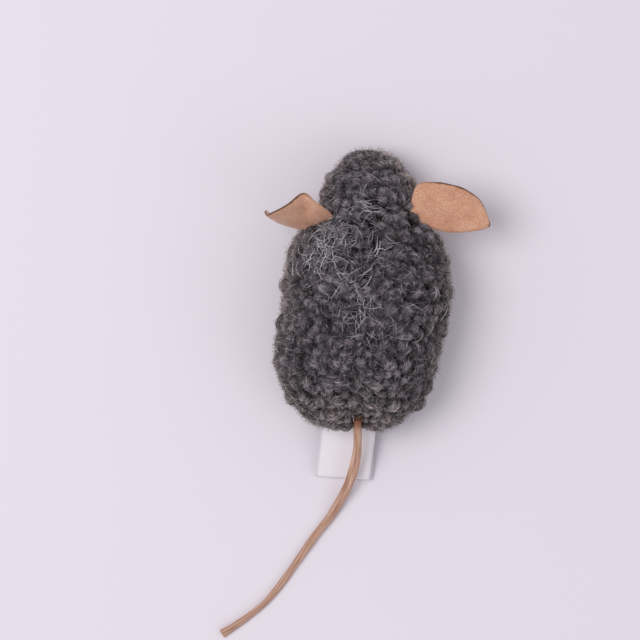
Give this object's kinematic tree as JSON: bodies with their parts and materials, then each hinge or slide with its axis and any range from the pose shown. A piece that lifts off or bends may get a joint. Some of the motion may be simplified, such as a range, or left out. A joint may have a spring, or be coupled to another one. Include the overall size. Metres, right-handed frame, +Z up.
{
  "type": "mouse cat toy",
  "caption": "Stuffed mouse for a cat: curly grey pile body with a pointed snout, folded tan felt ears, a tan suede lace tail and a plain white ribbon label.",
  "frame": {"origin": "on the surface that the toy lies on, at the middle of its flat belly", "axes": "+Y towards the nose, +X towards the toy's right side as seen from above with the nose away from the viewer, +Z up"},
  "size_m": [0.0661, 0.1317, 0.0302],
  "materials": {
    "fleece": "dark charcoal curly pile fleece, matt, with lighter fibre tips",
    "belly_fleece": "the same curly pile seen on the underside and low on the sides, a little browner",
    "filling": "white polyester wadding",
    "foil": "thin silvery crinkling film",
    "catnip": "dried green herb",
    "thread": "dark sewing thread",
    "felt": "tan suede-like felt, matt, with a brown heat-cut edge",
    "suede": "tan suede lace, matt, with a groove along it",
    "ribbon": "plain white satin ribbon"
  },
  "bodies": {
    "body": {"back_panel_left": "fleece", "back_panel_right": "fleece", "belly_panel": "belly_fleece", "spine_seam_thread": "thread", "base_seam_thread": "thread", "head_filling": "filling", "body_filling": "filling", "crinkle_foil": "foil", "catnip": "catnip", "ear_left_stitch": "thread", "ear_right_stitch": "thread", "tail_stitch": "thread", "label_stitch": "thread"},
    "ear_left": {"ear_left": "felt"},
    "ear_right": {"ear_right": "felt"},
    "tail_root": {"tail_knot": "suede"},
    "tail": {"tail_cord": "suede"},
    "label": {"care_label": "ribbon"}
  },
  "joints": [
    {"name": "ear_right_flap", "type": "hinge", "parent": "body", "child": "ear_right", "pos_m": [0.01119, 0.0216, 0.01597], "axis": [0, -1, 0], "range_deg": [-15, 35], "stiffness_Nm_per_rad": 0.001},
    {"name": "ear_left_flap", "type": "hinge", "parent": "body", "child": "ear_left", "pos_m": [-0.00706, 0.0216, 0.01769], "axis": [0, 1, 0], "range_deg": [-15, 35], "stiffness_Nm_per_rad": 0.001},
    {"name": "tail_swing", "type": "hinge", "parent": "body", "child": "tail_root", "pos_m": [0, -0.0313, 0.013], "axis": [0, 0, 1], "range_deg": [-30, 30]},
    {"name": "tail_lift", "type": "hinge", "parent": "tail_root", "child": "tail", "pos_m": [0, -0.0313, 0.013], "axis": [-1, 0, 0], "range_deg": [0, 60]},
    {"name": "label_flap", "type": "hinge", "parent": "body", "child": "label", "pos_m": [-0.002, -0.03256, 0.006], "axis": [-1, 0, 0], "range_deg": [0, 8], "stiffness_Nm_per_rad": 0.0003}
  ]
}
